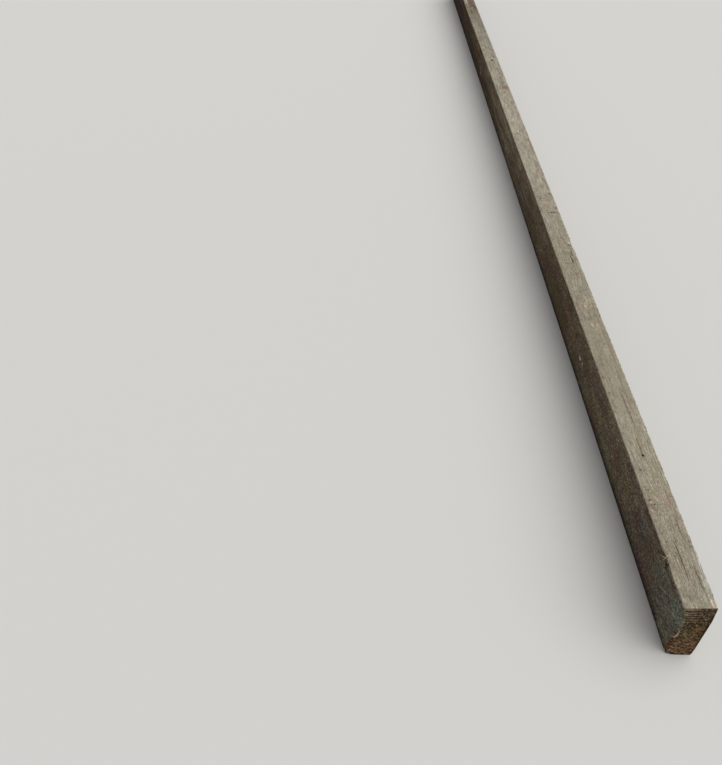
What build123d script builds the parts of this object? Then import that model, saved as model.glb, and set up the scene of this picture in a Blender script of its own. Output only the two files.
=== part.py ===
from build123d import *
import os

# A rough-sawn softwood beam, weathered, lying on one of its narrow edges. Millimetres.
# X runs across the beam, Y along it and Z up. The origin is on the level that the beam rests on,
# under the middle of its length and width. The near end is at -Y.

# Driving dimensions
beam_length = 5400.0
beam_width = 68.0
beam_height = 173.0

# Long arrises, worn round by handling and weather, by radius
upper_left_arris = 2.2
upper_right_arris = 2.8
lower_arris = 1.8

# Near end: the saw leaned, so the foot of the cut stands back from its top
near_cut_lean = 1.0
end_arris = 0.8

# Near end, left corner: a flake is gone from the upper part of the upright arris, and the cut slants back
# to its foot. Each height above the underside has the reach of the wear across the cut and along the side
corner_wear = [
    (169.0, 1.0, 1.0),
    (150.0, 12.0, 6.0),
    (108.0, 14.0, 7.0),
    (76.0, 4.0, 3.0),
    (-3.0, 40.0, 4.5),
]
corner_wear_fullness = 0.2

# Near end, right side: its lower part is crushed in towards the foot and comes back square further in
crushed_width = 12.0
crushed_height = 130.0
crushed_run = 180.0
crushed_fullness = 0.03

# Nail hole in the upper face: station from the near end, and its place from the upper left arris
nail_diameter = 5.0
nail_depth = 60.0
nail_station = 432.5
nail_from_left = 33.5

# Drying checks in the upper face: from station, to station, place from the left arris at both ends,
# opening and depth
upper_checks = [
    (68.0, 176.0, 28.5, 29.0, 1.4, 11.0),
    (172.0, 232.0, 52.0, 50.5, 0.9, 6.0),
    (434.0, 536.0, 33.3, 32.4, 1.6, 14.0),
    (528.0, 668.0, 42.0, 38.0, 1.0, 8.0),
    (1338.0, 1384.0, 47.5, 46.5, 1.6, 9.0),
    (1380.0, 1424.0, 53.0, 56.0, 1.4, 8.0),
]

# Gap that opened across the grain beside a knot in the upper face
knot_gap_station = 1690.0
knot_gap_from_right = 7.0
knot_gap_length = 29.0
knot_gap_opening = 2.2
knot_gap_depth = 7.0

# Torn stretches of the upper arrises. Each station has the reach of the tear across the upper face
# and down the side
right_tear = [
    (1404.0, 3.0, 2.0),
    (1432.0, 6.0, 7.0),
    (1448.0, 11.5, 9.0),
    (1470.0, 6.0, 8.0),
    (1512.0, 2.0, 3.0),
]
right_splinter = [(1950.0, 2.0, 2.0), (1986.0, 5.0, 4.5), (2034.0, 2.0, 2.0)]
right_bruise = [(2352.0, 2.0, 2.0), (2366.0, 6.0, 5.0), (2380.0, 2.0, 2.0)]
right_chip = [(3064.0, 2.0, 2.0), (3082.0, 7.5, 6.0), (3098.0, 5.0, 7.0), (3118.0, 2.0, 2.0)]
left_splinter = [(118.0, 1.5, 1.5), (130.0, 3.0, 6.5), (146.0, 1.5, 1.5)]
left_nick = [(764.0, 1.5, 1.5), (774.0, 5.0, 6.0), (784.0, 1.5, 1.5)]
tear_fullness = -0.12

# Loose knots fallen out of the left side: station, depth below the upper arris, mouth and depth of the pit
left_knot_pits = [
    (1012.5, 67.0, 9.0, 4.0),
    (981.0, 46.0, 6.0, 2.5),
]

# How far a cutting form stands out of the timber
overshoot = 3.0

left_x = -beam_width / 2
right_x = beam_width / 2
near_y = -beam_length / 2
far_y = beam_length / 2
along = Vector(0, 1, 0)
across = Vector(1, 0, 0)
up = Vector(0, 0, 1)


def sawn_timber():
    # The side view is drawn first, because only the near cut is out of square
    side_view = Plane.YZ.offset(left_x) * make_face(
        Polyline(
            (near_y + near_cut_lean, 0),
            (far_y, 0),
            (far_y, beam_height),
            (near_y, beam_height),
            close=True,
        )
    )
    return extrude(side_view, beam_width, dir=across)


def long_edge(timber, x, z):
    runs = timber.edges().filter_by(Axis.Y)
    return runs.sort_by_distance(Vector(x, 0, z))[0]


def ease_long_arrises(timber):
    arrises = [
        (left_x, beam_height, upper_left_arris),
        (right_x, beam_height, upper_right_arris),
        (left_x, 0, lower_arris),
        (right_x, 0, lower_arris),
    ]
    for x, z, radius in arrises:
        timber = fillet(long_edge(timber, x, z), radius)
    return timber


def ease_end_arrises(timber):
    ends = timber.faces().sort_by(Axis.Y)
    outlines = ends[0].edges() + ends[-1].edges()
    return fillet(outlines, end_arris)


def worn_section(corner, first_face, second_face, first_reach, second_reach, fullness):
    # What is gone from an arris, seen along it. Local x and y lie in the two faces that meet there, and
    # a fullness above zero leaves a round back to the timber, below zero a hollow one
    middle = (first_reach * (1 - fullness) / 2, second_reach * (1 - fullness) / 2)
    outline = Polyline(
        (0, second_reach),
        (-overshoot, second_reach),
        (-overshoot, -overshoot),
        (first_reach, -overshoot),
        (first_reach, 0),
    ) + ThreePointArc((first_reach, 0), middle, (0, second_reach))
    return Plane(origin=corner, x_dir=first_face, z_dir=first_face.cross(second_face)) * make_face(outline)


def worn_left_corner():
    cut_slope = near_cut_lean / beam_height
    sections = []
    for height, cut_reach, side_reach in corner_wear:
        corner = Vector(left_x, near_y + near_cut_lean - cut_slope * height, height)
        sections.append(worn_section(corner, across, along, cut_reach, side_reach, corner_wear_fullness))
    return loft(sections, ruled=True)


def crushed_right_corner():
    start = 0.04
    sections = []
    for run, share in ((-overshoot, 1.0), (near_cut_lean + crushed_run, start)):
        corner = Vector(right_x, near_y + run, 0)
        section = worn_section(
            corner, -across, up, crushed_width * share, crushed_height * share, crushed_fullness
        )
        sections.append(section)
    return loft(sections, ruled=True)


def torn_arris(x, into_beam, stations):
    sections = []
    for station, face_reach, side_reach in stations:
        corner = Vector(x, near_y + station, beam_height)
        sections.append(worn_section(corner, into_beam, -up, face_reach, side_reach, tear_fullness))
    return loft(sections, ruled=True)


def drying_check(start, end, start_from_left, end_from_left, opening, depth):
    # A thin wedge: a long lozenge at the surface that closes to a point below its middle
    head = Vector(left_x + start_from_left, near_y + start, beam_height)
    tail = Vector(left_x + end_from_left, near_y + end, beam_height)
    return lozenge_wedge(head, tail, opening, depth)


def lozenge_wedge(head, tail, opening, depth):
    middle = (head + tail) / 2
    spread = 1 + overshoot / depth
    half_run = (tail - head) / 2 * spread
    half_gap = half_run.normalized().cross(up) * opening / 2 * spread
    lift = up * overshoot
    mouth = Polyline(
        middle - half_run + lift,
        middle + half_gap + lift,
        middle + half_run + lift,
        middle - half_gap + lift,
        close=True,
    )
    return loft([make_face(mouth), Vertex(middle - up * depth)], ruled=True)


def knot_gap():
    tail = Vector(right_x - knot_gap_from_right, near_y + knot_gap_station, beam_height)
    head = tail - across * knot_gap_length
    return lozenge_wedge(head, tail, knot_gap_opening, knot_gap_depth)


def nail_hole():
    mouth = Vector(left_x + nail_from_left, near_y + nail_station, beam_height)
    body = Cylinder(nail_diameter / 2, nail_depth + overshoot, align=(Align.CENTER, Align.CENTER, Align.MAX))
    return Pos(mouth + up * overshoot) * body


def knot_pit(station, below_arris, mouth, depth):
    # A shallow bowl: the ball that has this mouth and this depth in the left side
    ball = ((mouth / 2) ** 2 + depth**2) / (2 * depth)
    centre = Vector(left_x + depth - ball, near_y + station, beam_height - below_arris)
    return Pos(centre) * Rot(0, 0, 180) * Sphere(ball)


def beam():
    timber = ease_end_arrises(ease_long_arrises(sawn_timber()))
    losses = [worn_left_corner(), crushed_right_corner(), knot_gap(), nail_hole()]
    for stations in (right_tear, right_splinter, right_bruise, right_chip):
        losses.append(torn_arris(right_x, -across, stations))
    for stations in (left_splinter, left_nick):
        losses.append(torn_arris(left_x, across, stations))
    for check in upper_checks:
        losses.append(drying_check(*check))
    for pit in left_knot_pits:
        losses.append(knot_pit(*pit))
    for loss in losses:
        timber = timber - loss
    return timber


os.makedirs("parts", exist_ok=True)
export_step(beam(), "parts/timber_beam.step")
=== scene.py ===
import bpy
import bmesh
import math
import numpy as np
from mathutils import Matrix, Vector


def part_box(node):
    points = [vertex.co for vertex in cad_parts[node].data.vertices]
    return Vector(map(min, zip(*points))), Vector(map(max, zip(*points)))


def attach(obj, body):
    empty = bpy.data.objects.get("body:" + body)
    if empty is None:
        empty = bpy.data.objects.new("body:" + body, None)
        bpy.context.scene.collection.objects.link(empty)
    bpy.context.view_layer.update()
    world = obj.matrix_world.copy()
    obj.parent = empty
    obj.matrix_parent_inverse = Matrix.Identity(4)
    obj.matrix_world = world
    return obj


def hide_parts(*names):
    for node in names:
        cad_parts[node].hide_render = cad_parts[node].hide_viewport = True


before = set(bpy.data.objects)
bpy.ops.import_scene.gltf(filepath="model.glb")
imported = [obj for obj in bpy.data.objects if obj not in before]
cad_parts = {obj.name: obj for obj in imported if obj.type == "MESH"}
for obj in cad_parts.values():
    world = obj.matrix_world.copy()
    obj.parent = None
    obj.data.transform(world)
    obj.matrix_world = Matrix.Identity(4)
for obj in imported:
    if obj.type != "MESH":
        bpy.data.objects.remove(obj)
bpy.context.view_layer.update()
cadLow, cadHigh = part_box("timber_beam")
mm = 0.001
beamWidth = (cadHigh.x - cadLow.x) / mm
beamHeight = (cadHigh.z - cadLow.z) / mm
beamLength = (cadHigh.y - cadLow.y) / mm
print("beam is", round(beamWidth, 1), "x", round(beamHeight, 1), "x", round(beamLength, 1), "mm")


# one node, its settings and what goes into it: a socket or a node's first output is linked, the rest is set
def addNode(tree, kind, inputs=None, **settings):
    node = tree.nodes.new(kind)
    for name, value in settings.items():
        setattr(node, name, value)
    for socket, value in (inputs or {}).items():
        if isinstance(value, bpy.types.Node):
            value = value.outputs[0]
        if isinstance(value, bpy.types.NodeSocket):
            tree.links.new(value, node.inputs[socket])
        else:
            node.inputs[socket].default_value = value
    return node


# a new material with an empty tree
def newMaterial(name):
    material = bpy.data.materials.new(name)
    material.use_nodes = True
    material.node_tree.nodes.clear()
    return material


# a value, vector or colour for each point of a mesh
def addField(mesh, name, values, kind="FLOAT", entry="value"):
    mesh.attributes.new(name, kind, "POINT").data.foreach_set(entry, np.ravel(values))


def hexToLinear(hexColour):
    parts = [int(hexColour[i:i + 2], 16) / 255 for i in (1, 3, 5)]
    linear = [c / 12.92 if c <= 0.04045 else ((c + 0.055) / 1.055) ** 2.4 for c in parts]
    return (*linear, 1.0)


def smoothStep(t):
    t = np.clip(t, 0, 1)
    return t * t * (3 - 2 * t)


# camera at the photograph's place, in the part's own frame
photoCamera = {
    "place": (-0.6463, -3.6164, 1.538),
    "turn": -1.50,  # degrees from +Y, clockwise seen from above
    "down": 39.72,
    "roll": -1.78,
    "focalPixels": 778.7,
    "longSidePixels": 765,
}


def makeCamera():
    c = photoCamera
    turn, down, roll = (math.radians(c[k]) for k in ("turn", "down", "roll"))
    forward = Vector((math.sin(turn) * math.cos(down), math.cos(turn) * math.cos(down), -math.sin(down)))
    level = Vector((math.cos(turn), -math.sin(turn), 0))
    above = level.cross(forward)
    right = math.cos(roll) * level + math.sin(roll) * above
    up = -math.sin(roll) * level + math.cos(roll) * above
    cameraData = bpy.data.cameras.new("photoCamera")
    cameraData.sensor_width = 36
    cameraData.lens = c["focalPixels"] * cameraData.sensor_width / c["longSidePixels"]
    cameraData.clip_end = 200
    camera = bpy.data.objects.new("photoCamera", cameraData)
    rows = [(right[k], up[k], -forward[k], c["place"][k]) for k in range(3)]
    camera.matrix_world = Matrix((*rows, (0, 0, 0, 1)))
    bpy.context.scene.collection.objects.link(camera)
    bpy.context.scene.camera = camera


makeCamera()
print("camera placed")

# sawn beam: all lengths in mm, stations run from the worn end, "down" is below the top face
sawnBeam = {
    "topColumns": 24,
    "leftColumns": 32,
    "rightColumns": 27,
    "undersideColumns": 10,
    "arrisSteps": 3,
    "firstRow": 2.0,
    "rowGrowth": 0.00215,  # rows get longer away from the worn end
    "lastRow": 3.0,
    "easedRow": 0.3,  # the one row within an eased end, as a share of its arris
    "capRings": 15,
    "upperLeftArris": 2.2,
    "upperRightArris": 2.8,
    "lowerArris": 1.8,
    "endArris": 0.8,
    "cutLean": 1.0,  # the saw leaned, so the foot of the worn end stands back
    "leanRun": 230,  # and the rows stand upright again this far along
    "cornerWearFullness": 0.2,
    "crushedFoot": {"width": 12.0, "height": 130.0, "run": 188.24, "fullness": 0.03, "waver": (0.1, 7)},
    # fibres torn away along the top of the worn end, and from the long arrises between their tears
    "raggedCut": {"least": 0.6, "more": 3.0, "step": 3.4, "alongShare": 0.7, "within": 40},
    "raggedArris": {"least": 0.6, "upper": 2.0, "lower": 1.3, "sideShare": 0.8},
    "cornerJag": (0.2, 3.1, 8.3),  # size, length of its quick wave and of its slow one
    "tearJag": (0.35, 2.9, 6.7),
    "leastTear": 0.2,
    "pith": (-3.0, 12.0),  # the tree's centre, across and above the underside
    "seed": 11,
}

# left upright arris of the worn end, where a flake is gone and the cut slants back to its foot:
# height above the underside, reach across the cut, reach along the side
cornerWear = [(-3, 40, 4.5), (76, 4, 3), (108, 14, 7), (150, 12, 6), (169, 1, 1)]

# torn stretches of the upper arrises: station, reach across the top, reach down the side
rightTears = [
    [(1404, 3, 2), (1432, 6, 7), (1448, 11.5, 9), (1470, 6, 8), (1512, 2, 3)],
    [(1950, 2, 2), (1986, 5, 4.5), (2034, 2, 2)],
    [(2352, 2, 2), (2366, 6, 5), (2380, 2, 2)],
    [(3064, 2, 2), (3082, 7.5, 6), (3098, 5, 7), (3118, 2, 2)],
]
leftTears = [
    [(105, 1.5, 1.5), (116, 3.5, 9), (130, 3.5, 13), (146, 1.5, 3)],
    [(764, 1.5, 1.5), (774, 5, 6), (784, 1.5, 1.5)],
]

# drying checks in the top: from, to, place from the left arris at both ends, opening, depth
topChecks = [
    (66, 176, 30.2, 29.6, 0.6, 5),
    (26, 122, 52.5, 51.3, 0.5, 3),
    (176, 232, 52.0, 50.5, 0.3, 2),
    (439, 500, 33.3, 32.6, 0.9, 9),
    (528, 668, 42.0, 38.0, 0.35, 3),
    (1338, 1384, 47.5, 46.5, 1.6, 8),
    (1380, 1424, 53.0, 56.0, 0.8, 6),
]
# how a check lies in the grid: it fades in before its ends, pulls over the columns beside it, sways and
# quivers, each by size and length, and shows in dashes where it is only a hairline
checkLine = {
    "fade": 24, "columns": 6, "sway": (0.25, 17.0), "quiver": (0.15, 5.1), "least": 0.6, "more": 0.6,
    "lip": 0.12, "lipShade": 0.25, "shade": 0.4,
    "hairline": 0.8, "dash": 0.7, "gap": 0.25, "gapShare": 0.35,
}
# gap across the grain beside a knot
knotGap = {
    "station": 1690, "from": 32, "to": 61, "opening": 3.4, "depth": 8,
    "fade": 8, "lip": 0.2, "sway": (1.2, 5),
}
nailHole = {"station": 432.5, "fromLeft": 33.5, "radius": 2.5, "rim": 0.7, "depth": 24}
leftPits = [(1012.5, 67, 9, 4), (981, 46, 6, 2.5)]  # station, down, mouth, depth

# knots by face: station, across from the left arris or down from the top, half length, half width and
# how far the weather has left its colour
knots = {
    "top": [
        (274, 8, 17, 13, 0.5), (1262, 40, 8, 5, 0.30), (1775, 34, 25, 20, 0.20), (2995, 47, 38, 13, 0.40),
        (4580, 36, 72, 12, 0.75),
    ],
    "left": [(1012.5, 67, 8, 6, 0.9), (981, 46, 6, 5, 0.8), (3605, 110, 36, 28, 0.9), (2700, 98, 12, 9, 0.7)],
    "right": [
        (760, 58, 17, 13, 0.7), (2140, 96, 22, 17, 0.6), (3480, 44, 13, 10, 0.8), (4710, 120, 26, 18, 0.7),
    ],
}
# a knot parts the grain in its face down to a depth, and less in its core
knotGrain = {"depth": 30, "parting": 0.9, "core": 0.1, "offFace": 3}

# weather and wear that have a place, by face: station, across or down, half length, half width, finish and
# share; on the end, across and above the underside come first
stains = {
    "top": [
        (8, 62, 15, 7, "palePeach", 0.85), (58, 61, 46, 6, "paleAsh", 0.75),
        (106, 65, 18, 5, "paleAsh", 0.55), (34, 2, 36, 4, "paleAsh", 0.6),
        (42, 24, 30, 16, "rosyGrey", 0.5), (120, 55, 16, 7, "rosyGrey", 0.7),
        (16, 16, 26, 18, "palePeach", 0.3), (240, 44, 30, 18, "ashShade", 0.2),
        (278, 48, 13, 22, "rosyWood", 0.5), (300, 42, 24, 26, "rosyWood", 0.4),
        (280, 36, 12, 12, "rosyWood", 0.4), (258, 14, 2.4, 4, "barkBrown", 0.8),
        (265, 10, 2.4, 5, "barkBrown", 0.8), (270, 15, 2.4, 5, "bleached", 0.6),
        (276, 17, 2.4, 4, "barkBrown", 0.85), (282, 13, 2.4, 5, "bleached", 0.6),
        (289, 10, 2.4, 5, "barkBrown", 0.7), (318, 34, 24, 26, "strawBrown", 0.4),
        (321, 16, 2.6, 9, "barkBrown", 0.55), (329, 8, 3, 4, "barkBrown", 0.5),
        (171, 15, 5, 3, "barkBrown", 0.75), (68, 5, 4, 2.5, "pitDark", 0.8),
        (500, 38, 100, 12, "paleWood", 0.25), (560, 54, 44, 9, "paleWood", 0.25),
        (392, 25, 6, 4, "ashShade", 0.6), (510, 54, 9, 5, "paleAsh", 0.6),
        (732, 6, 12, 2, "barkBrown", 0.8), (775, 11, 7, 11, "rosyWood", 0.5),
        (975, 38, 34, 16, "paleWood", 0.25), (1105, 48, 40, 18, "paleWood", 0.3),
        (1012, 34, 14, 32, "lichenGreen", 0.35), (1030, 50, 10, 7, "barkBrown", 0.6),
        (1025, 64, 9, 4, "barkBrown", 0.7), (1046, 30, 8, 30, "rosyWood", 0.5),
        (1066, 52, 4, 3, "tarBrown", 0.7), (1252, 46, 24, 10, "rosyWood", 0.5),
        (1294, 38, 8, 4, "lichenGreen", 0.7), (1354, 49, 13, 2.4, "tarBrown", 0.9),
        # at station 1450 a painted shadow in the gap under the torn right arris
        (1390, 50, 12, 2.4, "barkBrown", 0.6), (1450, 55, 9, 4, "pitDark", 1.0),
        (1465, 59, 7, 5, "bleached", 1.0), (1488, 60, 13, 4, "bleached", 0.5),
        (1550, 46, 34, 8, "rosyWood", 0.5), (1690, 47, 5, 15, "tarBrown", 0.85),
        (1710, 5, 12, 4, "barkBrown", 0.8), (1800, 12, 26, 10, "barkBrown", 0.4),
        (1770, 34, 36, 16, "rosyWood", 0.6), (1841, 57, 12, 5, "tarBrown", 0.7),
        (2050, 14, 150, 10, "paleAsh", 0.2), (2560, 20, 240, 18, "paleAsh", 0.3),
        (2850, 58, 150, 8, "ashShade", 0.22), (3400, 58, 130, 8, "ashShade", 0.15),
        (3760, 58, 120, 8, "ashShade", 0.35), (4040, 20, 150, 18, "paleAsh", 0.25),
        (2310, 57, 50, 11, "rosyWood", 0.5), (2362, 62, 10, 6, "tarBrown", 0.8),
        (2428, 23, 10, 5, "barkBrown", 0.7), (2720, 36, 16, 6, "barkBrown", 0.5),
        (2944, 36, 9, 9, "tarBrown", 0.8), (2995, 56, 44, 11, "rosyWood", 0.7),
        (3085, 51, 19, 7, "tarBrown", 0.6), (3110, 58, 12, 7, "bleached", 0.6),
        (3432, 38, 13, 8, "tarBrown", 0.9), (3470, 40, 12, 7, "bleached", 0.7),
        (3625, 55, 46, 10, "ashShade", 0.8), (4100, 52, 190, 13, "ashShade", 0.6),
        (4385, 13, 40, 7, "lichenGreen", 0.8), (4390, 25, 46, 6, "barkBrown", 0.75),
        (4500, 53, 60, 6, "tarBrown", 0.65), (4590, 41, 70, 6, "tarBrown", 0.65),
        (4640, 14, 90, 9, "palePeach", 0.65),
    ],
    "left": [
        (24, 44, 22, 30, "slateGreen", 0.5), (16, 142, 32, 34, "clayGrey", 0.8),
        (60, 142, 34, 24, "clayGrey", 0.7), (300, 44, 44, 34, "dryBrown", 0.2),
        (720, 30, 44, 24, "dryBrown", 0.3), (895, 138, 56, 24, "dryBrown", 0.25),
        (1200, 28, 50, 22, "dryBrown", 0.25), (1580, 26, 120, 18, "dryBrown", 0.2),
        (2550, 80, 130, 30, "dryBrown", 0.35), (4340, 136, 150, 24, "dryBrown", 0.12),
        (117, 11, 11, 12, "tarBrown", 0.9), (710, 34, 14, 6, "stoneGrey", 0.7),
        (904, 92, 8, 5, "bleached", 1.0), (936, 93, 10, 6, "bleached", 1.0),
        (920, 78, 5, 3, "tarBrown", 0.9), (961, 102, 7, 8, "tarBrown", 0.8),
        (981, 46, 8, 6, "tarBrown", 1.0), (1012.5, 67, 10, 8, "pitDark", 1.0),
        (3605, 108, 50, 38, "pitDark", 0.9), (4060, 70, 60, 9, "tarBrown", 0.6),
        (4600, 92, 60, 14, "tarBrown", 0.9),
    ],
    "end": [
        (26, 92, 12, 26, "mossOlive", 0.35), (46, 97, 8, 12, "claySienna", 0.6),
        (52, 133, 3, 2.4, "palePeach", 0.5), (14, 169, 14, 4, "paleWood", 0.6),
        (47, 40, 5, 16, "mossOlive", 0.4), (6, 12, 6, 5, "strawBrown", 0.6),
    ],
}
# soft washes of colour on the left side that keep the tone of the wood, laid out like its stains
washes = [
    (18, 46, 34, 30, "slateGreen", 0.4), (34, 112, 26, 34, "slateGreen", 0.2),
    (72, 132, 44, 30, "stoneGrey", 0.5), (88, 60, 36, 34, "stoneGrey", 0.6),
    (140, 66, 26, 40, "slateGreen", 0.25), (124, 8, 14, 12, "claySienna", 0.7),
    (165, 156, 60, 24, "plumRed", 0.35), (238, 152, 44, 26, "plumRed", 0.5),
    (228, 88, 20, 26, "mossOlive", 0.35), (262, 54, 32, 26, "slateGrey", 0.4),
    (315, 92, 26, 26, "plumRed", 0.3), (372, 86, 42, 40, "mossOlive", 0.4),
    (390, 150, 44, 22, "plumRed", 0.3), (510, 84, 80, 36, "plumRed", 0.3),
    (500, 142, 50, 18, "mossOlive", 0.35), (610, 150, 50, 20, "mossOlive", 0.35),
    (655, 90, 24, 20, "mossOlive", 0.5), (760, 120, 50, 22, "claySienna", 0.35),
    (805, 26, 20, 24, "plumBrown", 0.7), (1050, 102, 16, 17, "claySienna", 0.7),
    (1135, 47, 40, 16, "plumBrown", 0.8), (1210, 120, 60, 22, "mossOlive", 0.35),
    (1335, 40, 50, 26, "plumBrown", 0.7), (1400, 98, 30, 22, "mossOlive", 0.6),
    (1500, 98, 44, 30, "plumBrown", 0.7), (1520, 160, 40, 9, "slateGrey", 0.6),
    (1650, 46, 20, 14, "claySienna", 0.8), (1790, 108, 44, 16, "mossOlive", 0.5),
    (1895, 55, 50, 22, "claySienna", 0.6), (2080, 130, 90, 24, "inkPurple", 0.5),
    (2280, 48, 90, 22, "mossOlive", 0.6), (2440, 118, 130, 26, "plumBrown", 0.6),
    (2700, 70, 60, 16, "mossOlive", 0.45), (2960, 92, 90, 24, "stoneGrey", 0.4),
    (3300, 140, 120, 22, "mossOlive", 0.6), (3720, 140, 110, 22, "inkPurple", 0.7),
    (3760, 62, 100, 20, "claySienna", 0.9), (4330, 50, 70, 10, "claySienna", 0.6),
    (4420, 76, 120, 14, "stoneGrey", 0.6), (4860, 60, 120, 16, "plumBrown", 0.8),
    (4280, 110, 460, 70, "umber", 0.3),
]
# colours of the stains and washes
finishes = {
    "rosyWood": "#a5877a",
    "rosyGrey": "#a39589",
    "claySienna": "#7d5a41",
    "barkBrown": "#54442f",
    "tarBrown": "#33271c",
    "pitDark": "#1d150e",
    "strawBrown": "#9b8d6e",
    "palePeach": "#d2c0aa",
    "paleAsh": "#b9b7ab",
    "ashShade": "#85807a",
    "bleached": "#cfc8ba",
    "paleWood": "#bdb296",
    "lichenGreen": "#7f8064",
    "mossOlive": "#5c5838",
    "stoneGrey": "#66615a",
    "clayGrey": "#766c58",
    "dryBrown": "#8a7d68",
    "umber": "#5e4b30",
    "slateGrey": "#5b5f60",
    "slateGreen": "#616b62",
    "plumBrown": "#64504a",
    "plumRed": "#6f4c48",
    "inkPurple": "#4a3f43",
}


# columns round the section: x, z, outward x, outward z, spine height
def sectionColumns():
    s = sawnBeam
    half = beamWidth / 2
    upperLeft, upperRight, lower = s["upperLeftArris"], s["upperRightArris"], s["lowerArris"]
    leftTop, rightTop = beamHeight - upperLeft, beamHeight - upperRight
    spineLow, spineHigh = half, beamHeight - half
    columns = []

    def straight(start, end, count, outward, spine):
        for k in range(count + 1):
            t = k / count
            place = [start[i] + (end[i] - start[i]) * t for i in (0, 1)]
            columns.append((*place, *outward, spine[0] + (spine[1] - spine[0]) * t))

    def rounded(centre, radius, fromAngle, spine):
        for k in range(1, s["arrisSteps"]):
            angle = math.radians(fromAngle - 90 * k / s["arrisSteps"])
            nx, nz = math.cos(angle), math.sin(angle)
            columns.append((centre[0] + radius * nx, centre[1] + radius * nz, nx, nz, spine))

    straight((-half, lower), (-half, leftTop), s["leftColumns"], (-1, 0), (spineLow, spineHigh))
    rounded((-half + upperLeft, leftTop), upperLeft, 180, spineHigh)
    top = (-half + upperLeft, beamHeight), (half - upperRight, beamHeight)
    straight(*top, s["topColumns"], (0, 1), (spineHigh, spineHigh))
    rounded((half - upperRight, rightTop), upperRight, 90, spineHigh)
    straight((half, rightTop), (half, lower), s["rightColumns"], (1, 0), (spineHigh, spineLow))
    rounded((half - lower, lower), lower, 0, spineLow)
    straight((half - lower, 0), (-half + lower, 0), s["undersideColumns"], (0, -1), (spineLow, spineLow))
    rounded((-half + lower, lower), lower, 270, spineLow)
    return np.array(columns)


# rows from the middle of the worn end, along the beam, to the middle of the square end:
# station, how far it is drawn in at the eased ends, and how far it has closed on the spine
def sectionRows():
    s = sawnBeam
    ease, last = s["endArris"], s["lastRow"]
    eased = s["easedRow"] * ease
    shares = np.linspace(1, 0, s["capRings"] + 1)[:-1]
    nearCap = [(0.0, ease, t) for t in shares]
    rows = [(0.0, ease, 0), (eased, eased, 0), (ease, 0, 0)]
    station = ease
    while station < beamLength - 4 * last:
        station += s["firstRow"] + s["rowGrowth"] * station
        rows.append((station, 0, 0))
    rows = [r for r in rows if r[0] < beamLength - 2 * last]
    rows += [(beamLength - last, 0, 0), (beamLength - ease, 0, 0), (beamLength - eased, eased, 0)]
    rows.append((beamLength, ease, 0))
    farCap = [(beamLength, ease, t) for t in shares[::-1]]
    return np.array(nearCap + rows + farCap)


# how far a point at p, q from an arris moves into the wood, as a share of each reach, to lie on the
# worn surface: straight when fullness is 0, rounder above it
def wearShift(p, q, fullness):
    bulge = 4 * fullness / (1 - fullness) ** 2
    gone = 1 - p - q - bulge * p * q
    if bulge < 1e-6:
        return np.maximum(gone / 2, 0)
    middle = 2 + bulge * (p + q)
    root = np.sqrt(np.maximum(middle ** 2 + 4 * bulge * gone, 0))
    return np.where(gone > 0, (root - middle) / (2 * bulge), 0)


# wears a long arris to a reach across the face and one up or down the side; gives how far each point moved
def wearArris(side, upper, acrossReach, sideReach, fullness=0.0, here=True):
    global across, height
    p = (beamWidth / 2 - side * across) / acrossReach
    q = (beamHeight - height if upper else height) / sideReach
    shift = wearShift(p, q, fullness) * here
    across = across - side * shift * acrossReach
    height = height + (-1 if upper else 1) * shift * sideReach
    return shift


# how far a check is open along its length, 0 to 1: a lozenge with full flanks
def lozenge(t):
    return np.clip(1 - np.abs(2 * t - 1), 0, 1) ** 0.6


# a broken line along a length, 0 to 1, with a new value every step
def brokenLine(along, step, draw):
    count = int(np.max(along) / step) + 3
    return np.interp(along / step, np.arange(count), draw.random(count) ** 2)


# a ragged factor about 1, from a quick and a slow wave
def jagged(place, size, quick, slow):
    return 1 + size * np.sin(place / quick) * np.sin(place / slow + 1)


columns = sectionColumns()
rows = sectionRows()
rowCount, columnCount = len(rows), len(columns)
station = np.repeat(rows[:, :1], columnCount, 1)
closed = rows[:, 2:]
across = (columns[:, 0] - columns[:, 2] * rows[:, 1:2]) * (1 - closed)
height = columns[:, 1] - columns[:, 3] * rows[:, 1:2]
height = height + (columns[:, 4] - height) * closed
# painted shade in checks, holes, pits and the knot gap, 0 to 1, darker the deeper
hollowShade = np.zeros((rowCount, columnCount))  # how deep in a check or hole, 0 to 1
bare = np.zeros((rowCount, columnCount))  # fresh torn wood, 0 to 1
topFirst = sawnBeam["leftColumns"] + sawnBeam["arrisSteps"]
topLast = topFirst + sawnBeam["topColumns"]
sideRows = np.flatnonzero((rows[:, 2] == 0) & (rows[:, 1] == 0))
randomDraw = np.random.default_rng(sawnBeam["seed"])


def nearestRow(place):
    return int(np.argmin(np.abs(rows[:, 0] - place)))


def nearestColumn(fromLeft):
    return topFirst + int(np.argmin(np.abs(columns[topFirst:topLast + 1, 0] + beamWidth / 2 - fromLeft)))


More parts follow.
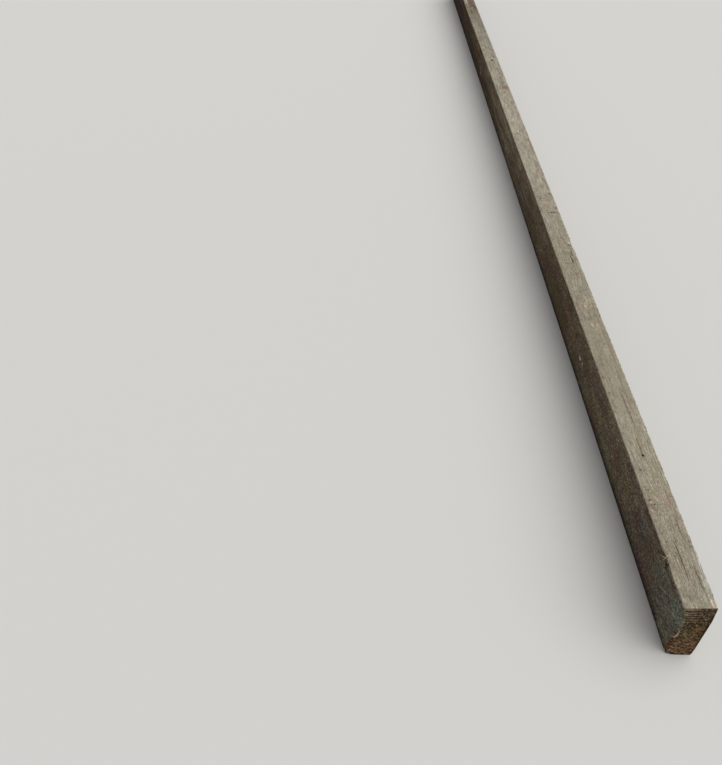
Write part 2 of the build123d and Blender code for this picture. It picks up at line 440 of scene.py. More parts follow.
def openTopCheck(start, end, startFromLeft, endFromLeft, opening, depth):
    c = checkLine
    middle = nearestColumn((startFromLeft + endFromLeft) / 2)
    for i in sideRows:
        here = rows[i, 0]
        along = (here - start) / (end - start)
        grip = float(smoothStep(1 - max(start - here, here - end, 0) / c["fade"]))
        if grip == 0:
            continue
        line = startFromLeft + (endFromLeft - startFromLeft) * min(max(along, 0), 1) - beamWidth / 2
        sway = c["sway"][0] * math.sin(here / c["sway"][1])
        line += sway + c["quiver"][0] * math.sin(here / c["quiver"][1] + start)
        openness = float(lozenge(along))
        width = opening * openness * (c["least"] + c["more"] * randomDraw.random())
        dash = 1
        if opening <= c["hairline"]:
            dash = c["dash"] if randomDraw.random() > c["gapShare"] else c["gap"]
        shift = line - across[i, middle]
        for k in range(1 - c["columns"], c["columns"]):
            j = middle + k
            if topFirst < j < topLast:
                across[i, j] += shift * grip * (1 - abs(k) / c["columns"])
        if 0 < along < 1:
            for k in (-1, 1):
                lip = line + k * (c["lip"] + width / 2)
                across[i, middle + k] += (lip - across[i, middle + k]) * grip
                hollowShade[i, middle + k] = c["lipShade"] * dash * openness
            height[i, middle] -= depth * openness
            hollowShade[i, middle] = dash * min(1, c["shade"] + openness)


def openKnotGap():
    g = knotGap
    i = nearestRow(g["station"])
    fromLeft = across[i] + beamWidth / 2
    for j in range(topFirst, topLast + 1):
        width = float(lozenge((fromLeft[j] - g["from"]) / (g["to"] - g["from"])))
        grip = float(smoothStep(1 - max(g["from"] - fromLeft[j], fromLeft[j] - g["to"], 0) / g["fade"]))
        line = g["station"] + g["sway"][0] * math.sin(fromLeft[j] / g["sway"][1])
        station[i, j] += (line - station[i, j]) * grip
        if width > 0:
            for k in (-1, 1):
                station[i + k, j] = line + k * (g["lip"] + g["opening"] / 2 * width)
            height[i, j] -= g["depth"] * width
            hollowShade[i, j] = 1


# a square block of the grid becomes rings of a round hole, each a radius, a depth and its painted shade,
# from the mouth inwards
def openRound(i, j, centre, onTop, rings):
    size = len(rings)
    for di in range(-size, size + 1):
        for dj in range(-size, size + 1):
            ring = max(abs(di), abs(dj))
            radius, depth, dark = rings[size - ring] if ring else (0, rings[-1][1], rings[-1][2])
            reach = math.hypot(di, dj) or 1
            alongPart, acrossPart = di / reach * radius, dj / reach * radius
            station[i + di, j + dj] = centre[0] + alongPart
            hollowShade[i + di, j + dj] = dark
            if onTop:
                across[i + di, j + dj] = centre[1] + acrossPart
                height[i + di, j + dj] = beamHeight - depth
            else:
                height[i + di, j + dj] = centre[1] + acrossPart
                across[i + di, j + dj] = -beamWidth / 2 + depth


for check in topChecks:
    openTopCheck(*check)
openKnotGap()
nailRow, nailColumn = nearestRow(nailHole["station"]), nearestColumn(nailHole["fromLeft"])
nailCentre = (nailHole["station"], nailHole["fromLeft"] - beamWidth / 2)
radius, rim = nailHole["radius"], nailHole["rim"]
rings = [(radius + rim, 0, 0.25), (radius, 0.1, 0.9), (radius * 0.9, nailHole["depth"], 1.0)]
openRound(nailRow, nailColumn, nailCentre, True, rings)
for pitStation, down, mouth, depth in leftPits:
    j = int(np.argmin(np.abs(columns[:topFirst, 1] - (beamHeight - down))))
    rings = [(mouth / 2, 0.1, 0.1), (mouth * 0.33, depth * 0.75, 0.8)]
    openRound(nearestRow(pitStation), j, (pitStation, beamHeight - down), False, rings)
print("checks, nail hole and knot pits opened")

# broken line between the tears of the four long arrises: side, whether it is an upper one, and step
missing = sawnBeam["raggedArris"]
for side, upper, step in ((-1, True, 7.0), (1, True, 8.0), (-1, False, 11.0), (1, False, 11.0)):
    reach = missing["least"] + missing["upper" if upper else "lower"] * brokenLine(station, step, randomDraw)
    wearArris(side, upper, reach, reach * missing["sideShare"])

# the leaned cut, and the worn arrises that meet it
endFade = smoothStep(1 - station / sawnBeam["leanRun"])
cutPlane = sawnBeam["cutLean"] * (1 - height / beamHeight)
station = station + cutPlane * endFade
wearHeights, wearAcross, wearAlong = np.array(cornerWear, float).T
jag = jagged(height, *sawnBeam["cornerJag"])
reachAcross = np.interp(height, wearHeights, wearAcross, right=1e-3) * jag
reachAlong = np.interp(height, wearHeights, wearAlong, right=1e-3) * jag
p = (across + beamWidth / 2) / reachAcross
q = np.maximum(station - cutPlane, 0) / reachAlong
shift = wearShift(p, q, sawnBeam["cornerWearFullness"])
across = across + shift * reachAcross
station = station + shift * reachAlong

foot = sawnBeam["crushedFoot"]
waver = 1 + foot["waver"][0] * np.sin(station / foot["waver"][1])
share = np.clip(1 - station / foot["run"], 1e-3, 1) * waver
wearArris(1, False, foot["width"] * share, foot["height"] * share, foot["fullness"])

# saw fray along the top of the worn end
cut = sawnBeam["raggedCut"]
fray = cut["least"] + cut["more"] * brokenLine(across + beamWidth, cut["step"], randomDraw)
p = np.maximum(station - cutPlane, 0) / (fray * cut["alongShare"])
q = np.maximum(beamHeight - height, 0) / fray
shift = np.where(station < cut["within"], wearShift(p, q, 0.0), 0)
station = station + shift * fray * cut["alongShare"]
height = height - shift * fray


# splits off an upper arris, with a fibrous broken line, and bare wood as pale as is given
def tearArris(tears, side, paleness):
    global bare
    jag = jagged(station, *sawnBeam["tearJag"])
    for stretch in tears:
        stations, acrossTop, downSide = np.array(stretch, float).T
        topReach = np.interp(station, stations, acrossTop, 0, 0) * jag
        sideReach = np.interp(station, stations, downSide, 0, 0) * jag
        here = topReach > sawnBeam["leastTear"]
        topReach, sideReach = np.where(here, topReach, 1), np.where(here, sideReach, 1)
        shift = wearArris(side, True, topReach, sideReach, 0.0, here)
        bare = np.maximum(bare, paleness * smoothStep(shift * 5))


tearArris(rightTears, 1, 0.75)
tearArris(leftTears, -1, 0.15)
print("worn end and torn arrises cut")


# how much of each face a point belongs to: less over the last 5 mm from it
def faceShare(distance):
    return smoothStep(1 - distance / 5)


onCap = np.repeat((rows[:, 2:] > 0) | (rows[:, 1:2] > 0.5), columnCount, 1).astype(float)
fromFace = {
    "top": beamHeight - height,
    "left": across + beamWidth / 2,
    "right": beamWidth / 2 - across,
}
placeOnFace = {"top": across + beamWidth / 2, "left": beamHeight - height, "right": beamHeight - height}

# the grain as it would lie in straight wood, with its lines parted by each knot
grainAcross, grainUp = across.copy(), height.copy()
knotReach = np.full(station.shape, 4.0)  # 1 at a knot's rim, 0 at its middle
knotColour = np.zeros(station.shape)
for face, faceKnots in knots.items():
    nearFace = smoothStep(1 - fromFace[face] / knotGrain["depth"])
    for knotStation, place, halfLength, halfWidth, kept in faceKnots:
        alongKnot = (station - knotStation) / halfLength
        acrossKnot = (placeOnFace[face] - place) / halfWidth
        reach = np.hypot(alongKnot, acrossKnot)
        parting = acrossKnot * halfWidth * np.minimum(1 / (reach ** 2 + knotGrain["core"]), 1)
        parting = parting * nearFace * knotGrain["parting"]
        if face == "top":
            grainAcross -= parting
        else:
            grainUp += parting
        reach = reach + ((1 - faceShare(fromFace[face])) + onCap) * knotGrain["offFace"]
        knotColour = np.where(reach < knotReach, kept, knotColour)
        knotReach = np.minimum(knotReach, reach)

# left corner of the worn end: bare brown wood goes round onto the side at its foot, narrowing up to a
# height, and higher up the side's grey goes round onto the cut, to a reach at each height
brownCorner = {
    "reach": 18, "fullHeight": 8, "topHeight": 74, "overlap": 4, "edge": 5, "across": 12, "run": 30,
}
greyCorner = {
    "reaches": [(60, 0), (76, 3), (92, 8), (111, 12), (133, 12), (150, 8), (166, 3)], "edge": 6,
    "foot": 62,
}
endRun = 60  # what belongs to the end reaches at most this far along
narrowing = (brownCorner["topHeight"] - height) / (brownCorner["topHeight"] - brownCorner["fullHeight"])
brownLine = brownCorner["reach"] * np.clip(narrowing, 0, 1) + brownCorner["overlap"]
brownFoot = smoothStep((brownLine - station) / brownCorner["edge"]) * (1 - onCap)
brownFoot *= (fromFace["left"] < brownCorner["across"]) & (station < brownCorner["run"])
greyLine = np.interp(height, *np.array(greyCorner["reaches"], float).T)
greyBand = smoothStep((greyLine - fromFace["left"]) / greyCorner["edge"] + 0.5) * onCap
greyBand *= (height > greyCorner["foot"]) & (station < endRun)
endWood = np.maximum(onCap * (1 - greyBand), brownFoot)

# hands and weather leave the upper arrises paler, and a painted highlight lies along them, in a broken
# line, and most of all in the far half
paleArrisAndHighlight = {
    "core": 1.6, "reach": 2.6, "least": 0.25, "broken": 0.4, "step": 23.0, "far": 0.35,
    "farFrom": 2610, "farRun": 900,
}
arrisWearAndHighlight = np.zeros(station.shape)
for face in ("left", "right"):
    reach = (fromFace[face] + fromFace["top"]) / paleArrisAndHighlight["reach"]
    arrisWearAndHighlight += smoothStep(paleArrisAndHighlight["core"] - reach) * (1 - onCap)
farShare = paleArrisAndHighlight["far"] * smoothStep((station - paleArrisAndHighlight["farFrom"]) / paleArrisAndHighlight["farRun"])
brokenShare = paleArrisAndHighlight["broken"] * brokenLine(station, paleArrisAndHighlight["step"], randomDraw)
arrisWearAndHighlight *= paleArrisAndHighlight["least"] + brokenShare + farShare


# distance from the middle of a stain or wash, 1 at its rim, and how much of each point it may colour
def reachOf(face, first, second, firstHalf, secondHalf):
    if face == "end":  # across from the left arris, above the underside
        reach = np.hypot((fromFace["left"] - first) / firstHalf, (height - second) / secondHalf)
        return reach, endWood * (station < endRun)
    reach = np.hypot((station - first) / firstHalf, (placeOnFace[face] - second) / secondHalf)
    return reach, faceShare(fromFace[face]) * (1 - endWood)


# a stain is full to half its reach and gone at one and a half
stainColour = np.zeros((*station.shape, 4))
stainColour[..., :3] = hexToLinear(finishes["barkBrown"])[:3]
for face, patches in stains.items():
    for *area, finish, share in patches:
        reach, here = reachOf(face, *area)
        strength = np.clip(1.5 - reach, 0, 1) * share * here
        stronger = strength > stainColour[..., 3]
        stainColour[stronger] = (*hexToLinear(finishes[finish])[:3], 0)
        stainColour[..., 3] = np.maximum(stainColour[..., 3], strength)

# a wash fades from about a third of its reach to one and a half, and runs into the others
washColour = np.zeros((*station.shape, 4))
allStrengths = np.full(station.shape, 1e-6)
for *area, finish, share in washes:
    reach, here = reachOf("left", *area)
    strength = smoothStep(1.3 - reach * 0.85) * share * here
    washColour[..., :3] += strength[..., None] * np.array(hexToLinear(finishes[finish])[:3])
    washColour[..., 3] = 1 - (1 - washColour[..., 3]) * (1 - strength)
    allStrengths += strength
washColour[..., :3] /= allStrengths[..., None]
print("grain, knots and stains laid out")


def meshFromGrid(name):
    points = np.stack([across, station - beamLength / 2, height], -1).reshape(-1, 3) * mm
    i, j = np.meshgrid(np.arange(rowCount - 1), np.arange(columnCount), indexing="ij")
    nextColumn = (j + 1) % columnCount
    corners = [i * columnCount + j, (i + 1) * columnCount + j]
    corners += [(i + 1) * columnCount + nextColumn, i * columnCount + nextColumn]
    faces = np.stack(corners, -1).reshape(-1, 4)
    mesh = bpy.data.meshes.new(name)
    mesh.from_pydata(points.tolist(), [], faces.tolist())
    grain = np.stack([grainAcross, station - beamLength / 2, grainUp], -1) * mm
    addField(mesh, "grain", grain, "FLOAT_VECTOR", "vector")
    addField(mesh, "stain", stainColour, "FLOAT_COLOR", "color")
    addField(mesh, "wash", washColour, "FLOAT_COLOR", "color")
    fields = {
        "knotReach": knotReach,
        "knotColour": knotColour,
        "hollowShade": hollowShade,
        "bareWood": bare,
        "topFace": faceShare(fromFace["top"]) * (1 - onCap),
        "endWood": endWood,
        "arris": arrisWearAndHighlight,
    }
    for field, values in fields.items():
        addField(mesh, field, values)
    shell = bmesh.new()
    shell.from_mesh(mesh)
    bmesh.ops.remove_doubles(shell, verts=shell.verts, dist=0.01 * mm)
    bmesh.ops.recalc_face_normals(shell, faces=shell.faces)
    shell.to_mesh(mesh)
    shell.free()
    mesh.shade_smooth()
    mesh.set_sharp_from_angle(angle=math.radians(50))
    return mesh


# the spruce's skin: how strongly the fine grain shows on each face, and the patterns' sizes in mm
spruceSkin = {
    "grainContrast": {"top": 0.62, "side": 2.2, "end": 1.9},
    "ringSpacing": 3.4,
    "sawSpacing": 4.6,  # of the band saw, across the long faces
    "endSawSpacing": 8.2,  # level on the ends
    "strokeLean": 24,  # degrees, of the torn strokes that cross the foot of the cut
    "strokeSize": (14, 9, 2.6),
    "knotTurns": 16.0,  # how closely the rings of a knot lie
    "roughness": (0.82, 0.96),
}
waveLength = 0.314  # of the wave texture at a scale of 1


# weathered rough-sawn spruce: a matt grey skin of raised fibres over warm wood, dry and without gloss
def weatheredSawnSpruce():
    material = newMaterial("weatheredSawnSpruce")
    tree = material.node_tree
    field = {}
    share = {"all": 1.0}
    for name in (
        "grain", "stain", "wash", "knotReach", "knotColour", "hollowShade", "bareWood", "topFace", "endWood",
        "arris",
    ):
        field[name] = addNode(tree, "ShaderNodeAttribute", attribute_name=name).outputs
        share[name] = field[name]["Alpha" if name in ("stain", "wash") else "Fac"]
    place = addNode(tree, "ShaderNodeTexCoord").outputs["Object"]
    grain = field["grain"]["Vector"]
    pattern = dict(addNode(tree, "ShaderNodeSeparateXYZ", {0: place}).outputs)

    # patterns by their size in mm across and along the grain, finest at what still shows in the render
    sizes = {
        "fleck": (grain, 1.9, 5.5, 3.0),
        "fibre": (grain, 2.4, 46, 3.0),
        "streak": (grain, 8.0, 240, 3.0),
        "tone": (place, 60, 190, 3.0),
        "hue": (place, 34, 66, 3.0),
        "drift": (place, 60, 200, 3.0),
        "grit": (place, 2.6, 9.0, 3.0),
        "mottle": (grain, 8, 26, 3.0),
        "blotch": (place, 17, 30, 3.0),
        "edge": (place, 7, 11, 3.0),
        "dash": (grain, 8, 110, 2.0),
        "band": (grain, 22, 420, 3.0),
        "patch": (grain, 19, 80, 2.0),
        "crumb": (place, 4.6, 4.6, 1.5),
    }
    for index, (name, (source, acrossSize, alongSize, detail)) in enumerate(sizes.items()):
        scale = (1 / (acrossSize * mm), 1 / (alongSize * mm), 1 / (acrossSize * mm))
        shift = (3.1 * index, 7.7 * index, 1.9 * index)
        laid = addNode(tree, "ShaderNodeMapping", {0: source, 1: shift, 3: scale})
        pattern[name] = addNode(tree, "ShaderNodeTexNoise", {0: laid, "Scale": 1.0, "Detail": detail})

    # growth rings round the pith, and marks of the saw on the long faces and on the ends
    pith = sawnBeam["pith"]
    fromPith = addNode(tree, "ShaderNodeMapping", {0: grain, 1: (-pith[0] * mm, 0, -pith[1] * mm)})
    ringsRound = {"wave_type": "RINGS", "rings_direction": "Y", "wave_profile": "SAW"}
    waves = {
        "rings": (fromPith, "ringSpacing", 2.2, 0.25, ringsRound),
        "sawMarks": (place, "sawSpacing", 2.5, 0.6, {"wave_type": "BANDS", "bands_direction": "Y"}),
        "endMarks": (place, "endSawSpacing", 1.3, 0.8, {"wave_type": "BANDS", "bands_direction": "Z"}),
    }
    for name, (source, spacing, distortion, detailScale, settings) in waves.items():
        scale = waveLength / (spruceSkin[spacing] * mm)
        wave = addNode(tree, "ShaderNodeTexWave", {
            0: source, "Scale": scale, "Distortion": distortion, "Detail": 2.0, "Detail Scale": detailScale,
        }, **settings)
        pattern[name] = wave.outputs["Fac"]
    leaning = addNode(tree, "ShaderNodeMapping", {
        0: place, 2: (0, math.radians(spruceSkin["strokeLean"]), 0),
        3: tuple(size * mm for size in spruceSkin["strokeSize"]),
    }, vector_type="TEXTURE")
    pattern["strokes"] = addNode(tree, "ShaderNodeTexNoise", {0: leaning, "Scale": 1.0, "Detail": 2.5})
    halfLength = beamLength / 2 * mm
    pattern["along"] = addNode(tree, "ShaderNodeMapRange", {0: pattern["Y"], 1: -halfLength, 2: halfLength})

    # a ramp takes a pattern to a few colours of one finish
    ramps = {
        "topSkin": ("streak", [(0.28, "#a19a89"), (0.44, "#a8a18f"), (0.56, "#aca695"), (0.74, "#b2ac9b")]),
        "sideSkin": ("tone", [(0.30, "#5a4e41"), (0.45, "#6c5f4e"), (0.56, "#766a57"), (0.70, "#837664")]),
        "endGrain": ("blotch", [(0.30, "#362a1b"), (0.45, "#443624"), (0.58, "#50412b"), (0.72, "#5e4e35")]),
        "bareGrain": ("fibre", [(0.30, "#74614a"), (0.50, "#978467"), (0.70, "#bba98a")]),
        "knotWood": ("edge", [(0.30, "#57453a"), (0.50, "#7a6352"), (0.70, "#937c66")]),
        "topAlong": ("along", [
            (0.03, "#f4f1eb"), (0.08, "#faf8f4"), (0.14, "#f1eee6"), (0.24, "#f0ede8"), (0.36, "#fcfaf8"),
            (0.50, "#ffffff"), (0.68, "#f0efee"), (0.88, "#afa196"),
        ]),
        # the side's tone along the beam; from about two thirds on it is painted shade that darkens the far
        # half
        "sideToneAndShade": ("along", [
            (0.004, "#f6f8f6"), (0.011, "#f2f4f2"), (0.018, "#e7e9e7"), (0.027, "#d7d9d7"),
            (0.036, "#dadbd9"), (0.05, "#f0f0ee"), (0.08, "#f3f2ef"), (0.12, "#fffdf8"),
            (0.23, "#d3c4b0"), (0.36, "#fdf8ef"), (0.50, "#fffff6"), (0.68, "#dfceb6"), (0.88, "#9b8768"),
        ]),
        # painted shade lower down the side, along the beam: slight near the worn end, strongest in the far
        # part
        "lowShadeAlong": ("along", [
            (0.03, "#f8f8f7"), (0.08, "#e6e8e8"), (0.15, "#e9eaec"), (0.25, "#e4e3e8"), (0.36, "#d5d0c7"),
            (0.50, "#e4e1dd"), (0.68, "#8f8b70"), (0.85, "#bcb29f"),
        ]),
        "calmGrain": ("along", [
            (0.088, "#ffffff"), (0.108, "#c8c8c8"), (0.172, "#c8c8c8"), (0.2, "#ffffff"),
        ]),
        "calmMottle": ("along", [(0.045, "#b4b4b4"), (0.06, "#ffffff"), (0.1, "#d0d0d0"), (0.2, "#ffffff")]),
    }
    skin = {}
    for name, (source, stops) in ramps.items():
        ramp = addNode(tree, "ShaderNodeValToRGB", {0: pattern[source]})
        elements = ramp.color_ramp.elements
        while len(elements) < len(stops):
            elements.new(0.5)
        for element, (position, colour) in zip(elements, stops):
            element.position = position
            element.color = hexToLinear(colour)
        skin[name] = ramp

    # shares of layers from a pattern or a place in metres: from and to which level, and the most
    levels = {
        "hue": {
            "topGreen": (0.52, 0.66, 0.16), "topRosy": (0.48, 0.36, 0.24), "green": (0.52, 0.62, 0.3),
            "rosy": (0.48, 0.38, 0.25),
        },
        "drift": {"straw": (0.52, 0.64, 0.15), "plum": (0.48, 0.38, 0.25), "slate": (0.60, 0.44, 0.5)},
        "Y": {"nearEnd": (-2.54, -2.66, 1.0), "farHalf": (-1.9, 0.3, 1.0)},
        "mottle": {
            "topDark": (0.48, 0.38, 0.3), "topPale": (0.52, 0.63, 0.3),
            "darkMottle": (0.48, 0.38, 0.3), "paleMottle": (0.52, 0.63, 0.3),
        },
        "dash": {"darkDash": (0.48, 0.36, 0.75), "paleDash": (0.52, 0.64, 0.6)},
        "band": {"darkBand": (0.48, 0.36, 0.8), "paleBand": (0.52, 0.64, 0.6)},
        "patch": {"darkPatch": (0.48, 0.36, 0.5), "palePatch": (0.52, 0.64, 0.45)},
        "rings": {"ring": (0.6, 1.0, 0.16), "endRing": (0.4, 0.9, 0.35)},
        "sawMarks": {"saw": (0.6, 1.0, 0.16)},
        "endMarks": {"endSaw": (0.55, 0.9, 0.75), "endPale": (0.4, 0.1, 0.75)},
        # painted shadow under the frayed lip of the cut
        "edge": {"lipShadow": (0.47, 0.38, 0.95)},
        "crumb": {"darkCrumb": (0.48, 0.39, 0.85), "paleCrumb": (0.54, 0.62, 0.65)},
        "strokes": {"stroke": (0.52, 0.60, 0.8), "strokeGap": (0.47, 0.39, 0.6)},
        "Z": {
            # a painted contact shadow at the foot of the side, then painted shade lower down it; the others
            # are for the end
            "footShadow": (0.026, 0.003, 0.95), "low": (0.128, 0.060, 1.0), "foot": (0.088, 0.050, 1.0),
            "dryLip": (0.136, 0.150, 0.35), "upper": (0.114, 0.128, 1.0), "lip": (0.120, 0.162, 1.0),
        },
        "X": {"leftPart": (0.020, -0.008, 1.0), "rightPart": (-0.014, 0.006, 1.0)},
    }
    for source, shares in levels.items():
        for name, (low, high, most) in shares.items():
            share[name] = addNode(tree, "ShaderNodeMapRange", {0: pattern[source], 1: low, 2: high, 4: most})
    share["calmMottle"] = skin["calmMottle"]
    # the saw shows in the upper part of the cut, the strokes at its foot, a painted shadow under its lip,
    # and longer broken grain from a metre on
    parts = [
        ("endSaw", "upper"), ("endSaw", "leftPart"), ("endPale", "upper"), ("endPale", "leftPart"),
        ("stroke", "foot"), ("strokeGap", "foot"), ("lipShadow", "lip"), ("lipShadow", "rightPart"),
        ("darkDash", "farHalf"), ("paleDash", "farHalf"), ("darkBand", "farHalf"), ("paleBand", "farHalf"),
        ("darkPatch", "farHalf"), ("palePatch", "farHalf"), ("slate", "nearEnd"),
        ("topDark", "calmMottle"), ("topPale", "calmMottle"),
    ]
    for name, part in parts:
        share[name] = addNode(tree, "ShaderNodeMath", {0: share[name], 1: share[part]}, operation="MULTIPLY")

    # layers over a colour, each the name of a share and a colour
    def layered(colour, layers, blend="MIX"):
        for name, layer in layers:
            if isinstance(layer, str):
                layer = hexToLinear(layer)
            inputs = {0: share[name], 6: colour, 7: layer}
            mixed = addNode(tree, "ShaderNodeMix", inputs, data_type="RGBA", blend_type=blend)
            colour = mixed.outputs[2]
        return colour

    topColour = layered(skin["topSkin"], [
        ("topDark", "#8d8472"), ("topPale", "#b6af9c"), ("darkDash", "#918977"), ("paleDash", "#b6af9d"),
        ("darkPatch", "#8c8473"), ("palePatch", "#bab3a1"), ("ring", "#877c69"), ("saw", "#7a7060"),
    ])
    topColour = layered(topColour, [
        ("straw", "#a4966f"), ("topGreen", "#9a9a76"), ("topRosy", "#a48b7b"),
    ], "COLOR")
    topColour = layered(topColour, [("all", skin["topAlong"])], "MULTIPLY")
    # painted shade darkens the side towards the ground and in the far half; a painted contact shadow runs
    # along its foot
    sideColour = layered(skin["sideSkin"], [
        ("darkMottle", "#3c3328"), ("paleMottle", "#8a7d68"), ("darkDash", "#40362b"),
        ("paleDash", "#897c67"), ("darkPatch", "#40362b"), ("palePatch", "#867a65"),
        ("darkBand", "#3d3328"), ("paleBand", "#8a7d68"), ("ring", "#463b30"),
    ])
    sideColour = layered(sideColour, [
        ("green", "#5f5c3c"), ("rosy", "#704e40"), ("plum", "#5e4a48"), ("slate", "#57594c"),
        ("wash", field["wash"]["Color"]),
    ], "COLOR")
    # painted shade: the far half of the side darker along the beam, and lower down darker still, most in the
    # far part
    sideColour = layered(sideColour, [("all", skin["sideToneAndShade"]), ("low", skin["lowShadeAlong"])], "MULTIPLY")
    # a painted contact shadow, near black, along the foot of the side
    sideColour = layered(sideColour, [("footShadow", "#1a1612")])
    endColour = layered(skin["endGrain"], [
        ("foot", "#60482e"), ("dryLip", "#7d6c57"), ("darkCrumb", "#2b1f13"), ("paleCrumb", "#857154"),
        # the near-black layer of the four darks is a painted shadow under the frayed top of the cut
        ("endRing", "#3a2d20"), ("endPale", "#8f7c64"), ("endSaw", "#1f160e"), ("lipShadow", "#140d08"),
        ("strokeGap", "#3d2a18"), ("stroke", "#927452"),
    ])

    # knots and placed stains have ragged edges
    ragged = {}
    for name, size in {"knotReach": 1.3, "stain": 1.6, "topFace": 0.9, "endWood": 1.1}.items():
        finer = {0: pattern["edge"], 1: size, 2: -size / 2}
        finer = addNode(tree, "ShaderNodeMath", finer, operation="MULTIPLY_ADD")
        wider = {0: pattern["blotch"], 1: size, 2: finer}
        wider = addNode(tree, "ShaderNodeMath", wider, operation="MULTIPLY_ADD")
        eased = addNode(tree, "ShaderNodeMath", {0: wider, 1: -size / 2}, operation="ADD")
        ragged[name] = addNode(tree, "ShaderNodeMath", {0: share[name], 1: eased}, operation="ADD")
    turns = {0: ragged["knotReach"], 1: spruceSkin["knotTurns"]}
    turns = addNode(tree, "ShaderNodeMath", turns, operation="MULTIPLY")
    knotWave = addNode(tree, "ShaderNodeMath", {0: turns}, operation="SINE")
    edges = {
        "inKnot": (ragged["knotReach"], 1.25, 0.7, 0.9),
        "nearKnot": (ragged["knotReach"], 1.8, 0.9, 0.75),
        "knotRing": (knotWave, 0.1, 1.0, 0.7),
        "stained": (ragged["stain"], 0.15, 1.05, 0.9),
        "onTop": (ragged["topFace"], 0.25, 0.75, 1.0),
        "onEnd": (ragged["endWood"], 0.25, 0.75, 1.0),
    }
    for name, (source, low, high, most) in edges.items():
        share[name] = addNode(tree, "ShaderNodeMapRange", {0: source, 1: low, 2: high, 4: most})
    for name, part in (("inKnot", "knotColour"), ("knotRing", "nearKnot"), ("knotRing", "knotColour")):
        share[name] = addNode(tree, "ShaderNodeMath", {0: share[name], 1: share[part]}, operation="MULTIPLY")

    colour = layered(sideColour, [
        # the pale arris layer is wear and a painted highlight
        ("onTop", topColour), ("onEnd", endColour), ("arris", "#b3ab99"), ("bareWood", skin["bareGrain"]),
        ("stained", field["stain"]["Color"]), ("inKnot", skin["knotWood"]), ("knotRing", "#54453a"),
    ])

    # fine grain lies over all of it, in lights and darks: strokes of fibre on top, grit on the other faces
    strokeWeight = addNode(tree, "ShaderNodeMapRange", {0: share["onTop"], 3: 0.8, 4: 3.6})
    signal = 0.0
    for name, weight in (("fleck", 2.8), ("grit", 2.8), ("fibre", strokeWeight)):
        centred = addNode(tree, "ShaderNodeMath", {0: pattern[name], 1: 0.5}, operation="SUBTRACT")
        signal = addNode(tree, "ShaderNodeMath", {0: centred, 1: weight, 2: signal}, operation="MULTIPLY_ADD")
    contrast = spruceSkin["grainContrast"]
    calm = addNode(tree, "ShaderNodeMath", {0: skin["calmGrain"], 1: contrast["top"]}, operation="MULTIPLY")
    longFaces = addNode(tree, "ShaderNodeMapRange", {0: share["onTop"], 3: contrast["side"], 4: calm})
    allFaces = addNode(tree, "ShaderNodeMix", {0: share["onEnd"], 2: longFaces, 3: contrast["end"]})
    power = addNode(tree, "ShaderNodeMath", {0: signal, 1: allFaces}, operation="MULTIPLY")
    lightness = addNode(tree, "ShaderNodeMath", {0: 2.0, 1: power}, operation="POWER")
    grained = addNode(tree, "ShaderNodeVectorMath", {0: colour, 3: lightness}, operation="SCALE")
    # dry fibre tips are grey, except on the end
    tips = addNode(tree, "ShaderNodeMapRange", {0: signal, 1: 0.0, 2: 1.2, 4: 0.6})
    notEnd = addNode(tree, "ShaderNodeMapRange", {0: share["onEnd"], 3: 1.0, 4: 0.2})
    share["greyTips"] = addNode(tree, "ShaderNodeMath", {0: tips, 1: notEnd}, operation="MULTIPLY")
    colour = layered(grained, [("greyTips", "#9a958b")], "COLOR")
    # painted shade, near black, in checks, holes, pits and the knot gap
    colour = layered(colour, [("hollowShade", "#1d1712")])

    # raised fibres, saw marks and grit, in mm
    heights = {
        "fleck": 0.9, "fibre": 0.7, "streak": 0.5, "grit": 1.1, "rings": 0.15, "sawMarks": 0.15,
        "blotch": 0.5,
    }
    relief = 0.0
    for name, size in heights.items():
        raised = {0: pattern[name], 1: size, 2: relief}
        relief = addNode(tree, "ShaderNodeMath", raised, operation="MULTIPLY_ADD")
    bump = addNode(tree, "ShaderNodeBump", {"Strength": 0.9, "Distance": 1.0 * mm, "Height": relief})
    smoothest, roughest = spruceSkin["roughness"]
    rough = addNode(
        tree, "ShaderNodeMapRange", {0: pattern["blotch"], 1: 0.3, 2: 0.7, 3: smoothest, 4: roughest}
    )
    wood = addNode(tree, "ShaderNodeBsdfPrincipled", {
        "Base Color": colour, "Roughness": rough, "Normal": bump,
        "IOR": 1.45, "Specular IOR Level": 0.08, "Diffuse Roughness": 0.6,
    })
    addNode(tree, "ShaderNodeOutputMaterial", {0: wood})
    return material


# torn spruce fibres: dry pale slivers, each a little different in tone
def tornSpruceFibre(name, darkest, palest):
    material = newMaterial(name)
    tree = material.node_tree
    one = addNode(tree, "ShaderNodeNewGeometry").outputs["Random Per Island"]
    place = addNode(tree, "ShaderNodeTexCoord").outputs["Object"]
    # strands 0.6 mm thick and 6 mm long
    laid = addNode(tree, "ShaderNodeMapping", {0: place, 3: (1 / (0.6 * mm), 1 / (6 * mm), 1 / (0.6 * mm))})
    strand = addNode(tree, "ShaderNodeTexNoise", {0: laid, "Scale": 1.0, "Detail": 2.0})
    mixed = addNode(tree, "ShaderNodeMath", {0: one, 1: 0.7, 2: strand}, operation="MULTIPLY_ADD")
    tone = addNode(tree, "ShaderNodeMapRange", {0: mixed, 1: 0.3, 2: 1.3})
    ramp = addNode(tree, "ShaderNodeValToRGB", {0: tone})
    ramp.color_ramp.elements[0].color = hexToLinear(darkest)
    ramp.color_ramp.elements[1].color = hexToLinear(palest)
    bump = addNode(tree, "ShaderNodeBump", {"Strength": 0.5, "Distance": 0.2 * mm, "Height": strand})
    fibre = addNode(tree, "ShaderNodeBsdfPrincipled", {
        "Base Color": ramp, "Roughness": 0.85, "Normal": bump, "IOR": 1.45, "Specular IOR Level": 0.08,
    })
    addNode(tree, "ShaderNodeOutputMaterial", {0: fibre})
    return material


